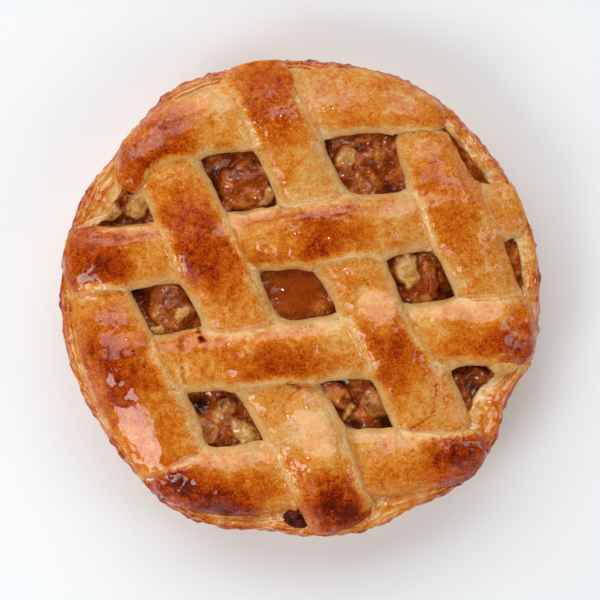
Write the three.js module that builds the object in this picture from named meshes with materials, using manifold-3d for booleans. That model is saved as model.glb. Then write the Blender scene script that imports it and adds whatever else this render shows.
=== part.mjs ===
// A round lattice-topped apple pie: a raised pastry case, its apple filling, and eight wide strips of
// dough woven over and under each other, with their ends pressed down on the case's rim.
// Millimetres, +Z up. The origin is the centre of the flat base. Seen from above, +X is to the right.
import * as THREE from "three";
import { mergeVertices } from "three/addons/utils/BufferGeometryUtils.js";
import Module from "manifold-3d";

// Case
const RIM_RADIUS = 105;
const BASE_RADIUS = 97;
const BASE_CORNER = 4;
const BASE_THICKNESS = 6;
const WALL_HEIGHT = 36;
const WALL_THICKNESS = 7.5;
const WALL_BELLY = 0.6;
const RIM_ROUNDING = 3;
const RIM_SLOPE = 1.5;
const RIM_UNDERCUT = 2;
const RIM_INNER_DEPTH = 5;
const RIM_WAVES = 7;
const RIM_RIPPLE = 0.8;
const RIM_FLAKE = 1.2;
const CORNER_INSET = 0.3;
const CASE_SIDES = 48;
const SWELL_START = 15;
const SWELL_REACH = 4;
const SWELL_LIFT = 0.3;

// Where the rim was pressed in or stands out: direction and spread in degrees, and how far out
const RIM_DENTS = [
  [121, 9, 2.4], [141, 8, -2.2], [-147, 5, -1.2], [-118, 13, 3.3], [-98, 9, -2], [-74, 7, 1.2],
  [-64, 5, -0.3], [-47, 9, 4.1], [-26, 6, -3.4], [12, 12, 1.1], [60, 12, 1.2], [88, 10, -0.8],
];

// Where the wall is thicker on the inside, and higher: direction and spread in degrees, and how far in
const WALL_SWELLS = [[-33, 12, 8], [-68, 14, 6], [-97, 9, 3], [153, 10, 5.5]];

// The lattice's strips, numbered from the top and from the left. Each middle line bends through these
// places, from one end to the other: x, y and half the strip's width there
const STRIPS = {
  strip_across_1: [
    [-75.8, 46.5, 5], [-65.3, 66.9, 10.8], [-21, 81.1, 16.2], [27.6, 86.1, 14.5], [63.7, 77.5, 5.3],
  ],
  strip_across_2: [
    [-103.4, 14.9, 12.2], [-89.1, 16.7, 15], [-57.4, 20, 13.3], [18, 29.5, 14.3], [100.4, 39.7, 12.6],
  ],
  strip_across_3: [
    [-90.3, -33, 10.2], [-51.2, -27.4, 13.1], [-22, -26.3, 13.3], [70.5, -15.1, 15.3], [102.9, -14.6, 14.3],
  ],
  strip_across_4: [
    [-64.3, -80.5, 4], [-34.9, -80.8, 15], [21.7, -73.3, 15.9], [62.1, -70.8, 12.5], [81.5, -65, 8.5],
  ],
  strip_slant_1: [
    [-90.3, 11.3, 10.5], [-86.6, -3.9, 14.3], [-73.3, -37.2, 17.4], [-59.4, -63, 18], [-51.5, -77, 14],
  ],
  strip_slant_2: [
    [-62, 65.2, 11.4], [-54.8, 49.1, 14.6], [-21.1, -20.3, 15.9], [1.2, -58.6, 16.8], [19.5, -101.5, 14.3],
  ],
  strip_slant_3: [
    [-23.1, 105.6, 13.4], [9.4, 36.6, 14.7], [26.6, 4.6, 14.2], [38.8, -20.6, 12.6], [53.6, -44.9, 16.6],
    [66, -64, 13.5],
  ],
  strip_slant_4: [
    [48.5, 76.4, 8.7], [55.2, 63.8, 12.5], [67.6, 35.8, 14.4], [85.8, -6.4, 12.8], [89.9, -33, 5.9],
  ],
};
const STRIP_THICKNESS = 10.6;
const PRESSED_THICKNESS = 6.8;
const DOME_SHARE = 0.73;
const WEAVE_RISE = 2.4;
const WEAVE_EASE = 45;
const CROSSING_REACH = 12;
const SECTION_POWER_ACROSS = 2.7;
const SECTION_POWER_UP = 1.9;
const SECTION_SIDES = 12;
const SECTION_ROWS = 24;
const END_ROUNDING = 6;
const END_POWER = 2.8;
const END_CROWDING = 1.35;
const CURVE_STEPS = 240;

// The lattice's middle surface is a low dome that rolls over at the rim
const BED_HEIGHT = 43;
const BED_DOME = 4.5;
const ROLL_START = 88;
const ROLL_DROP = 3;
const PRESS_START = 80;
const OVERHANG_SPREAD = 0.3;
const OVERHANG_DROP = 0.8;

// Filling
const FILLING_REACH = 98.5;
const FILLING_SINK = 4.4;
const FILLING_RIPPLE = 0.9;
const RIPPLE_SPACING = 6.8;
const FILLING_SIDES = 24;
const FILLING_RINGS = 5;

// The pieces of apple in the lattice's openings: x, y, length, width, the way the length runs in
// degrees, and how far the top stands above the sauce
const APPLES = [
  [-25, 49.5, 24, 20, 20, 4], [-16.7, 46, 11, 10, 0, 4], [-33.3, 41.2, 10, 8, 30, 2],
  [-83.3, 37.3, 12, 7, 10, 2.5], [-71.5, 40.8, 12, 9, 60, 3.5],
  [20.2, 61.4, 12, 10, 80, 3], [31, 58.3, 16, 12, -60, 3],
  [-56.1, -3.1, 22, 20, -30, 4], [-52.6, -6.6, 10, 9, 60, 4.6], [-62.3, -14, 9, 6, 30, 2.5],
  [46.5, 12.3, 17, 11, -70, 3.5], [57.9, 7.9, 18, 7, -75, 3.5],
  [-43, -57, 18, 11, -35, 2.5], [-32.9, -50, 14, 11, 60, 3.5], [-24.1, -58.7, 15, 10, -40, 3],
  [15.3, -43, 16, 12, -20, 3], [21, -50, 9, 4, 50, 3], [33.3, -45.6, 17, 13, -50, 3],
  [69.3, -38.6, 11, 10, 0, 3], [77.2, -33.8, 9, 7, 20, 4], [73.7, -45.6, 11, 7, -40, 2.5],
];
const APPLE_DEPTH = 0.8;
const APPLE_TILT = 0.3;

// Clear space left wherever two pieces meet
const GAP = 0.35;
const MERGE_DISTANCE = 1e-4;

const wasm = await Module();
wasm.setup();

const smooth = (x) => THREE.MathUtils.smoothstep(x, 0, 1);

// A repeatable number from 0 to 1 for item k, in its nth use
function scatter(k, n) {
  const s = Math.sin(k * 127.1 + n * 311.7) * 43758.5453;
  return s - Math.floor(s);
}

// The sum of soft bumps round the pie, by direction
function bumpsAt(bumps, angle) {
  const degrees = THREE.MathUtils.radToDeg(angle);
  return bumps.reduce((sum, [direction, spread, height]) => {
    const away = Math.abs(THREE.MathUtils.euclideanModulo(degrees - direction + 180, 360) - 180);
    return sum + height * Math.exp(-((away / spread) ** 2));
  }, 0);
}

// How far the hand-pressed rim stands out from a true circle
const outlineWave = (angle) => bumpsAt(RIM_DENTS, angle);

function bedHeight(x, y) {
  const r = Math.hypot(x, y);
  const roll = Math.max(0, r - ROLL_START) / (RIM_RADIUS - ROLL_START);
  return BED_HEIGHT - BED_DOME * (r / RIM_RADIUS) ** 2 - ROLL_DROP * roll ** 2;
}

// From 0 well inside the rim to 1 at the rim, where the strips are pressed down on the case
const pressed = (x, y) => smooth((Math.hypot(x, y) - PRESS_START) / (RIM_RADIUS - PRESS_START));

// A smooth curve through rows of numbers: the row at place u, counted in rows from the first
function rowAt(rows, u) {
  const k = Math.min(Math.floor(u), rows.length - 2);
  const f = u - k;
  const before = rows[Math.max(k - 1, 0)];
  const after = rows[Math.min(k + 2, rows.length - 1)];
  return rows[k].map((start, i) => {
    const end = rows[k + 1][i];
    const bend = 2 * before[i] - 5 * start + 4 * end - after[i];
    const twist = 3 * start - before[i] - 3 * end + after[i];
    return start + 0.5 * ((end - before[i]) * f + bend * f ** 2 + twist * f ** 3);
  });
}

// A strip's middle line filled in finely, each step with its distance along the strip
function makeStrip([name, places]) {
  const steps = [];
  let distance = 0;
  for (let k = 0; k <= CURVE_STEPS; k++) {
    const [x, y, halfWidth] = rowAt(places, (k / CURVE_STEPS) * (places.length - 1));
    const last = steps.at(-1);
    if (last) distance += Math.hypot(x - last.x, y - last.y);
    steps.push({ distance, x, y, halfWidth });
  }
  return { name, steps, length: distance, crossings: [] };
}

const strips = Object.entries(STRIPS).map(makeStrip);
const acrossStrips = strips.slice(0, strips.length / 2);
const slantStrips = strips.slice(strips.length / 2);

// The two steps where two strips come nearest each other
function nearestSteps(first, second) {
  let nearest = { gap: Infinity };
  for (const a of first.steps) {
    for (const b of second.steps) {
      const gap = Math.hypot(a.x - b.x, a.y - b.y);
      if (gap < nearest.gap) nearest = { gap, a, b };
    }
  }
  return nearest;
}

// The weave: each strip goes over one and under the next
acrossStrips.forEach((across, i) => {
  slantStrips.forEach((slant, j) => {
    const { gap, a, b } = nearestSteps(across, slant);
    if (gap > CROSSING_REACH) return;
    const level = (i + j) % 2 === 1 ? 1 : -1;
    across.crossings.push({ distance: a.distance, level, other: slant });
    slant.crossings.push({ distance: b.distance, level: -level, other: across });
  });
});

// A strip's level in the weave: 1 on top, -1 underneath, and back to 0 past its outermost crossings
function levelAt(strip, distance) {
  const next = strip.crossings.find((crossing) => crossing.distance > distance);
  const last = strip.crossings.findLast((crossing) => crossing.distance <= distance);
  if (!next || !last) {
    const only = next ?? last;
    return only.level * (1 - smooth(Math.abs(only.distance - distance) / WEAVE_EASE));
  }
  const share = (distance - last.distance) / (next.distance - last.distance);
  return THREE.MathUtils.lerp(last.level, next.level, smooth(share));
}

// The strip's middle line at a distance along it: place, half width and sideways direction
function stripAt(strip, distance) {
  const { steps } = strip;
  const found = steps.findIndex((step, i) => i > 0 && step.distance >= distance);
  const next = found > 0 ? found : steps.length - 1;
  const [a, b] = [steps[next - 1], steps[next]];
  const share = (distance - a.distance) / (b.distance - a.distance);
  const mix = (key) => THREE.MathUtils.lerp(a[key], b[key], share);
  const run = Math.hypot(b.x - a.x, b.y - a.y);
  return {
    x: mix("x"),
    y: mix("y"),
    halfWidth: mix("halfWidth"),
    sideX: -(b.y - a.y) / run,
    sideY: (b.x - a.x) / run,
  };
}

const rounded = (value, power) => Math.sign(value) * Math.abs(value) ** (2 / power);

// One strip: a sphere's rows become its cross sections and its two poles the rounded ends
function stripGeometry(strip, grow = 0) {
  const geometry = new THREE.SphereGeometry(1, SECTION_SIDES, SECTION_ROWS);
  const { position, uv } = geometry.attributes;
  const half = strip.length / 2 + grow;
  for (let k = 0; k < position.count; k++) {
    const along = 2 * uv.getY(k) - 1;
    const around = uv.getX(k) * 2 * Math.PI;
    const fromMiddle = half * Math.sign(along) * (1 - (1 - Math.abs(along)) ** END_CROWDING);
    const pastEnd = Math.max(0, 1 - (half - Math.abs(fromMiddle)) / END_ROUNDING);
    const taper = Math.sqrt(Math.max(0, 1 - pastEnd ** END_POWER));
    const distance = strip.length / 2 + fromMiddle;
    const place = stripAt(strip, distance);
    const across = (place.halfWidth + grow) * taper * rounded(Math.cos(around), SECTION_POWER_ACROSS);
    const x = place.x + place.sideX * across;
    const y = place.y + place.sideY * across;
    const press = pressed(x, y);
    const thickness = THREE.MathUtils.lerp(STRIP_THICKNESS, PRESSED_THICKNESS, press);
    const share = Math.sin(around) > 0 ? DOME_SHARE : 1 - DOME_SHARE;
    const fullUp = (thickness * share + grow) * taper * rounded(Math.sin(around), SECTION_POWER_UP);
    const up = fullUp - thickness * (DOME_SHARE - 1 / 2);
    const r = Math.hypot(x, y);
    const overhang = Math.max(0, r - RIM_RADIUS - outlineWave(Math.atan2(y, x)));
    const pull = 1 - (overhang * (1 - OVERHANG_SPREAD)) / r;
    const bed = bedHeight(x * pull, y * pull) - overhang * OVERHANG_DROP;
    position.setXYZ(k, x * pull, y * pull, bed + levelAt(strip, distance) * WEAVE_RISE + up);
  }
  return geometry;
}

// The case and the filling are turned profiles, then pushed in and out by the case's hand-made outline
function turnedGeometry(profile, sides, lift, pushIn = () => 0) {
  const points = profile.map(([r, z]) => new THREE.Vector2(r, z));
  const geometry = new THREE.LatheGeometry(points, sides).rotateX(Math.PI / 2);
  const { position } = geometry.attributes;
  for (let k = 0; k < position.count; k++) {
    const x = position.getX(k);
    const y = position.getY(k);
    const z = position.getZ(k);
    const angle = Math.atan2(y, x);
    const r = Math.max(Math.hypot(x, y), MERGE_DISTANCE);
    const out = outlineWave(angle) * (r / RIM_RADIUS) ** 4 * (r / RIM_RADIUS) - pushIn(r, z, angle);
    position.setXYZ(k, x * (1 + out / r), y * (1 + out / r), z + lift(x, y, z, angle));
  }
  return geometry;
}

// The case, with its inner side grown by a clear space where it is to cut the filling
function caseGeometry(grow = 0) {
  const lip = WALL_HEIGHT - RIM_ROUNDING;
  const inside = RIM_RADIUS - WALL_THICKNESS - grow;
  const floorEdge = BASE_RADIUS - WALL_THICKNESS - grow;
  const floor = BASE_THICKNESS + grow;
  const profile = [
    [0, 0],
    [BASE_RADIUS - BASE_CORNER, 0],
    [BASE_RADIUS - CORNER_INSET * BASE_CORNER, CORNER_INSET * BASE_CORNER],
    [BASE_RADIUS, BASE_CORNER],
    [(BASE_RADIUS + RIM_RADIUS) / 2 + WALL_BELLY, WALL_HEIGHT / 2],
    [RIM_RADIUS, lip],
    [RIM_RADIUS - CORNER_INSET * RIM_ROUNDING, lip + (1 - CORNER_INSET) * RIM_ROUNDING],
    [RIM_RADIUS - RIM_ROUNDING, WALL_HEIGHT],
    [inside, WALL_HEIGHT - RIM_SLOPE],
    [inside - RIM_UNDERCUT, lip - RIM_INNER_DEPTH],
    [floorEdge, floor + BASE_CORNER],
    [floorEdge - BASE_CORNER, floor],
    [0, floor],
  ];
  const liftRim = (x, y, z, angle) => {
    if (z < lip) return 0;
    const side = Math.round((angle / (2 * Math.PI)) * CASE_SIDES);
    const flake = RIM_FLAKE * (scatter((side + CASE_SIDES) % CASE_SIDES, Math.round(z)) - 0.5);
    return RIM_RIPPLE * Math.sin(RIM_WAVES * angle) + flake + SWELL_LIFT * bumpsAt(WALL_SWELLS, angle);
  };
  const swellIn = (r, z, angle) => {
    return z > SWELL_START && r < inside + SWELL_REACH ? bumpsAt(WALL_SWELLS, angle) : 0;
  };
  return turnedGeometry(profile, CASE_SIDES, liftRim, swellIn);
}

// The filling reaches into the wall, which cuts it
function fillingGeometry() {
  const profile = [
    [0, BASE_THICKNESS],
    [FILLING_REACH, BASE_THICKNESS],
  ];
  for (let k = FILLING_RINGS; k >= 0; k--) {
    profile.push([(FILLING_REACH * k) / FILLING_RINGS, BED_HEIGHT]);
  }
  return turnedGeometry(profile, FILLING_SIDES, (x, y, z) => {
    if (z < BED_HEIGHT) return 0;
    const ripple = FILLING_RIPPLE * Math.sin(x / RIPPLE_SPACING) * Math.sin(y / RIPPLE_SPACING);
    return bedHeight(x, y) - FILLING_SINK + ripple - z;
  });
}

function appleGeometry([x, y, length, width, turn, rise], k) {
  const depth = width * APPLE_DEPTH;
  const geometry = new THREE.IcosahedronGeometry(0.5, 1).scale(length, width, depth);
  geometry.rotateX(APPLE_TILT * (scatter(k, 1) - 0.5)).rotateZ(THREE.MathUtils.degToRad(turn));
  return geometry.translate(x, y, bedHeight(x, y) - FILLING_SINK + rise - depth / 2);
}

function toSolid(geometry) {
  const bare = geometry.clone();
  bare.deleteAttribute("uv");
  bare.deleteAttribute("normal");
  const merged = mergeVertices(bare, MERGE_DISTANCE);
  const vertProperties = new Float32Array(merged.attributes.position.array);
  const triVerts = new Uint32Array(merged.index.array);
  return new wasm.Manifold(new wasm.Mesh({ numProp: 3, vertProperties, triVerts }));
}

// Cutting can leave loose scraps: only the largest body is the piece
function largestBody(solid) {
  return solid.decompose().reduce((best, body) => (body.volume() > best.volume() ? body : best));
}

function toMesh(solid, name, material) {
  const { vertProperties, triVerts, numProp } = largestBody(solid).getMesh();
  const positions = new Float32Array((vertProperties.length / numProp) * 3);
  for (let k = 0; k < positions.length / 3; k++) {
    positions.set(vertProperties.subarray(k * numProp, k * numProp + 3), k * 3);
  }
  const geometry = new THREE.BufferGeometry();
  geometry.setAttribute("position", new THREE.BufferAttribute(positions, 3));
  geometry.setIndex(new THREE.BufferAttribute(triVerts, 1));
  geometry.computeVertexNormals();
  const mesh = new THREE.Mesh(geometry, material);
  mesh.name = name;
  return mesh;
}

const crustMaterial = new THREE.MeshStandardMaterial({ color: 0xc98a45, roughness: 0.6, metalness: 0 });
const stripMaterial = new THREE.MeshStandardMaterial({ color: 0xd08a3c, roughness: 0.35, metalness: 0 });
const fillingMaterial = new THREE.MeshStandardMaterial({ color: 0x8a4518, roughness: 0.25, metalness: 0 });

const pie = new THREE.Group();
const grownStrips = new Map(strips.map((strip) => [strip, toSolid(stripGeometry(strip, GAP))]));

for (const strip of strips) {
  let solid = toSolid(stripGeometry(strip));
  for (const { level, other } of strip.crossings) {
    if (level < 0) solid = solid.subtract(grownStrips.get(other));
  }
  pie.add(toMesh(solid, strip.name, stripMaterial));
}

let crust = toSolid(caseGeometry());
let filling = toSolid(fillingGeometry());
for (const [k, apple] of APPLES.entries()) filling = filling.add(toSolid(appleGeometry(apple, k)));
filling = filling.subtract(toSolid(caseGeometry(GAP)));
for (const grown of grownStrips.values()) {
  crust = crust.subtract(grown);
  filling = filling.subtract(grown);
}
pie.add(toMesh(crust, "crust", crustMaterial));
pie.add(toMesh(filling, "filling", fillingMaterial));

export default pie;
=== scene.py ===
import bmesh
import bpy
import itertools
import math
import numpy as np
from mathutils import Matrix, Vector


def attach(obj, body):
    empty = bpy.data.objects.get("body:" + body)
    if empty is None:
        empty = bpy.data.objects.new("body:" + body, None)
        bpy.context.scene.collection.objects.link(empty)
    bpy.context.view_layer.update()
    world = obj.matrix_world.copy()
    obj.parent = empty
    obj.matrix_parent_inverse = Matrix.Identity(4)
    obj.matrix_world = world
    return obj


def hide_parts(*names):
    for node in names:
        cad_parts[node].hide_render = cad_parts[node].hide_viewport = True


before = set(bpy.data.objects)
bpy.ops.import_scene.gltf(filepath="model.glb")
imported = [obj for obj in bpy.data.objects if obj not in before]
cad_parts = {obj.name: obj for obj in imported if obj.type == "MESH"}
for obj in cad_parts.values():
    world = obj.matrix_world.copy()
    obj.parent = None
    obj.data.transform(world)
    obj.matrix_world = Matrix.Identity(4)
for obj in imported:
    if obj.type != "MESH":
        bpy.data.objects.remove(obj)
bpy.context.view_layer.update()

# The pie is seen from straight above, as for a shop's picture: a camera one metre over the rim, a long soft
# box beyond the far side, weaker soft lights at the near left and at the right, a polarised one that fills
# the near shadows without a glint, a small lamp that makes the glaze sparkle, and a white table.
CAMERA_HEIGHT = 1.038
CAMERA_OFFSET = -0.0009
FRAME_WIDTH = 0.26304
FRAME_DISTANCE = 1.0
SENSOR_WIDTH = 36.0

camera_data = bpy.data.cameras.new("camera")
camera_data.sensor_width = SENSOR_WIDTH
camera_data.lens = SENSOR_WIDTH * FRAME_DISTANCE / FRAME_WIDTH
camera_data.clip_end = 10.0
camera = bpy.data.objects.new("camera", camera_data)
camera.location = (0.0, CAMERA_OFFSET, CAMERA_HEIGHT)
bpy.context.collection.objects.link(camera)
bpy.context.scene.camera = camera
bpy.context.scene.view_settings.view_transform = "Standard"


def tint(red, green, blue):
    """An sRGB colour, 0 to 255, as the linear colour that a shader takes."""
    linear = []
    for value in (red, green, blue):
        share = value / 255.0
        linear.append(share / 12.92 if share <= 0.04045 else ((share + 0.055) / 1.055) ** 2.4)
    return (*linear, 1.0)


def soft_light(name, place, size, watts, colour, shine=True):
    """A rectangular soft box that faces the pie. One without shine is polarised, so no glaze mirrors it."""
    data = bpy.data.lights.new(name, "AREA")
    data.shape = "RECTANGLE"
    data.size, data.size_y = size
    data.energy = watts
    data.color = colour
    light = bpy.data.objects.new(name, data)
    light.location = place
    light.visible_glossy = shine
    light.rotation_euler = (-Vector(place)).to_track_quat("-Z", "Y").to_euler()
    bpy.context.collection.objects.link(light)


soft_light("far_soft_box", (-0.25, 0.98, 1.2), (2.25, 1.2), 21.3, (1.0, 0.995, 0.99))
soft_light("near_left_light", (-0.62, -0.46, 0.88), (0.46, 0.46), 4.0, (1.0, 0.99, 0.985))
soft_light("near_fill", (0.0, -0.9, 0.75), (1.6, 0.7), 4.2, (1.0, 0.99, 0.98), shine=False)
soft_light("right_light", (0.85, -0.15, 0.75), (0.3, 0.5), 1.2, (1.0, 0.99, 0.985))
soft_light("sparkle_light", (-0.12, 0.3, 1.2), (0.025, 0.025), 0.22, (1.0, 1.0, 1.0))


def set_inputs(node, values):
    """Sets a node's inputs, by their names."""
    for name, value in values.items():
        node.inputs[name].default_value = value


# The studio's ceiling is dark, so the glaze stays deep, and its walls are pale.
WALL_LIGHT = 0.6
WALL_TOP = 0.3
CEILING_EDGE = 0.65

world = bpy.data.worlds.new("studio")
world.use_nodes = True
room = world.node_tree
way = room.nodes.new("ShaderNodeTexCoord")
split = room.nodes.new("ShaderNodeSeparateXYZ")
room.links.new(way.outputs["Generated"], split.inputs["Vector"])
walls = room.nodes.new("ShaderNodeMapRange")
set_inputs(walls, {"From Min": WALL_TOP, "From Max": CEILING_EDGE, "To Min": WALL_LIGHT, "To Max": 0.0})
room.links.new(split.outputs["Z"], walls.inputs["Value"])
room.links.new(walls.outputs["Result"], room.nodes["Background"].inputs["Strength"])
room.nodes["Background"].inputs["Color"].default_value = (1.0, 1.0, 1.0, 1.0)
bpy.context.scene.world = world

TABLE_HALF_WIDTH = 2.0


def new_material(name):
    """A material with nodes, and its shader."""
    material = bpy.data.materials.new(name)
    material.use_nodes = True
    return material, material.node_tree.nodes["Principled BSDF"]


table_mesh = bmesh.new()
bmesh.ops.create_grid(table_mesh, x_segments=1, y_segments=1, size=TABLE_HALF_WIDTH)
table_data = bpy.data.meshes.new("table_top")
table_mesh.to_mesh(table_data)
table_mesh.free()
table_top = bpy.data.objects.new("table_top", table_data)
bpy.context.collection.objects.link(table_top)
table_paint, table_shader = new_material("white table")
set_inputs(table_shader, {"Base Color": tint(240, 244, 247), "Roughness": 0.8})
table_data.materials.append(table_paint)

# The lattice: eight strips of shortcrust, laid on the filling over and under each other, pressed down on
# the rim, brushed with egg and baked until they puffed up and grew together. Each middle line bends through
# these places, from one end to the other: x, y and half the strip's width there, in millimetres.
MM = 0.001
STRIP_PLACES = {
    "strip_across_1": [
        (-75.8, 46.5, 5), (-65.3, 66.9, 10.8), (-21, 81.1, 16.2), (27.6, 86.1, 14.5), (63.7, 77.5, 5.3),
    ],
    "strip_across_2": [
        (-103.4, 14.9, 12.2), (-89.1, 16.7, 15), (-57.4, 20, 13.3), (18, 29.5, 14.3), (100.4, 39.7, 12.6),
    ],
    "strip_across_3": [
        (-90.3, -33, 10.2), (-51.2, -27.4, 13.1), (-22, -26.3, 13.3), (70.5, -15.1, 15.3),
        (102.9, -14.6, 14.3),
    ],
    "strip_across_4": [
        (-64.3, -80.5, 4), (-34.9, -80.8, 15), (21.7, -73.3, 15.9), (62.1, -70.8, 12.5), (81.5, -65, 8.5),
    ],
    "strip_slant_1": [
        (-90.3, 11.3, 10.5), (-86.6, -3.9, 14.3), (-73.3, -37.2, 17.4), (-59.4, -63, 18), (-51.5, -77, 14),
    ],
    "strip_slant_2": [
        (-62, 65.2, 11.4), (-54.8, 49.1, 14.6), (-21.1, -20.3, 15.9), (1.2, -58.6, 16.8),
        (19.5, -101.5, 14.3),
    ],
    "strip_slant_3": [
        (-23.1, 105.6, 13.4), (9.4, 36.6, 14.7), (26.6, 4.6, 14.2), (38.8, -20.6, 12.6),
        (53.6, -44.9, 16.6), (66, -64, 13.5),
    ],
    "strip_slant_4": [
        (48.5, 76.4, 8.7), (55.2, 63.8, 12.5), (67.6, 35.8, 14.4), (85.8, -6.4, 12.8), (89.9, -33, 5.9),
    ],
}
STRIPS_EACH_WAY = 4
# A strip's thickness, in its middle and pressed down on the rim, and the share of it above its widest level
STRIP_THICKNESS = 10.6
PRESSED_THICKNESS = 6.8
PRESS_START = 80.0
DOME_SHARE = 0.73
# How full the round of its section is, across and upwards, and how its ends round off
DOME_POWER_ACROSS = 2.7
DOME_POWER_UP = 1.9
END_ROUNDING = 6.0
END_POWER = 2.8
CURVE_STEPS = 240
# How near two middle lines come where they cross, how far a strip rises or dips there, and how slowly the
# rise fades past the last crossing
CROSSING_REACH = 12.0
WEAVE_RISE = 2.4
WEAVE_EASE = 45.0
# The low dome that the lattice lies in, how it rolls over at the rim, and how the dough past the rim hangs
RIM_RADIUS = 105.0
BED_HEIGHT = 43.0
BED_DOME = 4.5
ROLL_START = 88.0
ROLL_DROP = 3.0
OVERHANG_SPREAD = 0.3
OVERHANG_DROP = 0.8
# Where the hand-pressed rim stands out or in: direction and spread in degrees, and how far out
RIM_DENTS = [
    (121, 9, 2.4), (141, 8, -2.2), (-147, 5, -1.2), (-118, 13, 3.3), (-98, 9, -2), (-74, 7, 1.2),
    (-64, 5, -0.3), (-47, 9, 4.1), (-26, 6, -3.4), (12, 12, 1.1), (60, 12, 1.2), (88, 10, -0.8),
]


def smooth(share):
    """A share from 0 to 1, eased at both ends."""
    share = np.clip(share, 0.0, 1.0)
    return share * share * (3.0 - 2.0 * share)


# Large uneven numbers that scramble a place into a chance slope
SCRAMBLE = ((127.1, 311.7, 74.7), (269.5, 183.3, 246.1), (113.5, 271.9, 124.6))
SCRAMBLE_SCALE = 43758.5453
SEED_SHIFT = 17.31
GRAIN_HEIGHT = 1.7


def grain(points, size, seed):
    """Smooth noise from about -1 to 1 at each point, in lumps of that size in millimetres."""
    place = np.asarray(points) / size + seed * SEED_SHIFT
    cell = np.floor(place)
    share = place - cell
    ease = share * share * share * (share * (share * 6.0 - 15.0) + 10.0)
    total = np.zeros(len(place))
    for corner in itertools.product((0.0, 1.0), repeat=3):
        corner = np.array(corner)
        x, y, z = (cell + corner).T
        keys = np.column_stack([x * a + y * b + z * c for a, b, c in SCRAMBLE])
        slope = np.sin(keys) * SCRAMBLE_SCALE
        slope = 2.0 * (slope - np.floor(slope)) - 1.0
        weight = np.prod(np.where(corner > 0.5, ease, 1.0 - ease), axis=1)
        total += weight * np.sum(slope * (share - corner), axis=1)
    return GRAIN_HEIGHT * total


def layered(points, layers, seed=0, start=0.0):
    """Layers of grain laid on a start. A layer is its height, its size in millimetres and its own seed."""
    return sum((height * grain(points, size, seed + own) for height, size, own in layers), start)


def patch(x, y, patch_x, patch_y, reach, power=2):
    """A soft round patch: 1 in its middle and fading at its reach, more squarely with a higher power."""
    return np.exp(-((np.hypot(x - patch_x, y - patch_y) / reach) ** power))


def turned(x, y, angle):
    """How far x, y lie along a direction, and how far to its left."""
    return x * math.cos(angle) + y * math.sin(angle), y * math.cos(angle) - x * math.sin(angle)


def bumps_at(bumps, x, y):
    """The sum of soft bumps round the pie, in the direction of x, y."""
    degrees = np.degrees(np.arctan2(y, x))
    out = np.zeros_like(degrees)
    for direction, spread, height in bumps:
        away = np.abs((degrees - direction + 180.0) % 360.0 - 180.0)
        out += height * np.exp(-((away / spread) ** 2))
    return out


def rim_wave(x, y):
    """How far the hand-pressed rim stands out from a true circle."""
    return bumps_at(RIM_DENTS, x, y)


def bed_height(x, y):
    """The lattice's middle surface: a low dome that rolls over at the rim."""
    r = np.hypot(x, y)
    roll = np.maximum(0.0, r - ROLL_START) / (RIM_RADIUS - ROLL_START)
    return BED_HEIGHT - BED_DOME * (r / RIM_RADIUS) ** 2 - ROLL_DROP * roll**2


def thickness_at(x, y):
    """A strip's thickness, which is less where it was pressed down on the rim."""
    press = smooth((np.hypot(x, y) - PRESS_START) / (RIM_RADIUS - PRESS_START))
    return STRIP_THICKNESS + (PRESSED_THICKNESS - STRIP_THICKNESS) * press


def bend_through(places):
    """A strip's middle line: columns of distance along it, x, y and half width."""
    rows = np.array(places, float)
    u = np.linspace(0.0, len(rows) - 1.0, CURVE_STEPS + 1)
    k = np.minimum(u.astype(int), len(rows) - 2)
    f = (u - k)[:, None]
    before, start = rows[np.maximum(k - 1, 0)], rows[k]
    end, after = rows[k + 1], rows[np.minimum(k + 2, len(rows) - 1)]
    bend = 2.0 * before - 5.0 * start + 4.0 * end - after
    twist = 3.0 * start - before - 3.0 * end + after
    line = start + 0.5 * ((end - before) * f + bend * f**2 + twist * f**3)
    steps = np.hypot(np.diff(line[:, 0]), np.diff(line[:, 1]))
    return np.column_stack([np.concatenate([[0.0], np.cumsum(steps)]), line])


strip_lines = {name: bend_through(places) for name, places in STRIP_PLACES.items()}
crossings = {name: [] for name in STRIP_PLACES}
for i in range(STRIPS_EACH_WAY):
    for j in range(STRIPS_EACH_WAY):
        across = strip_lines[f"strip_across_{i + 1}"]
        slant = strip_lines[f"strip_slant_{j + 1}"]
        gaps = np.hypot(across[:, 1][:, None] - slant[:, 1], across[:, 2][:, None] - slant[:, 2])
        a, b = np.unravel_index(gaps.argmin(), gaps.shape)
        if gaps[a, b] < CROSSING_REACH:
            level = 1.0 if (i + j) % 2 == 1 else -1.0
            crossings[f"strip_across_{i + 1}"].append((across[a, 0], level))
            crossings[f"strip_slant_{j + 1}"].append((slant[b, 0], -level))


def weave_level(name, distance):
    """1 on top of a crossing, -1 underneath, and back to 0 past the outermost crossings."""
    stops = sorted(crossings[name])
    out = np.zeros_like(distance)
    first, last = stops[0], stops[-1]
    for (start, low), (end, high) in zip(stops, stops[1:]):
        between = (distance >= start) & (distance <= end)
        out = np.where(between, low + (high - low) * smooth((distance - start) / (end - start)), out)
    out = np.where(distance < first[0], first[1] * (1 - smooth((first[0] - distance) / WEAVE_EASE)), out)
    return np.where(distance > last[0], last[1] * (1 - smooth((distance - last[0]) / WEAVE_EASE)), out)


def rounded(value, power):
    """A cosine or a sine, drawn out so that the round it makes is fuller."""
    return np.sign(value) * np.abs(value) ** (2.0 / power)


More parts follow.
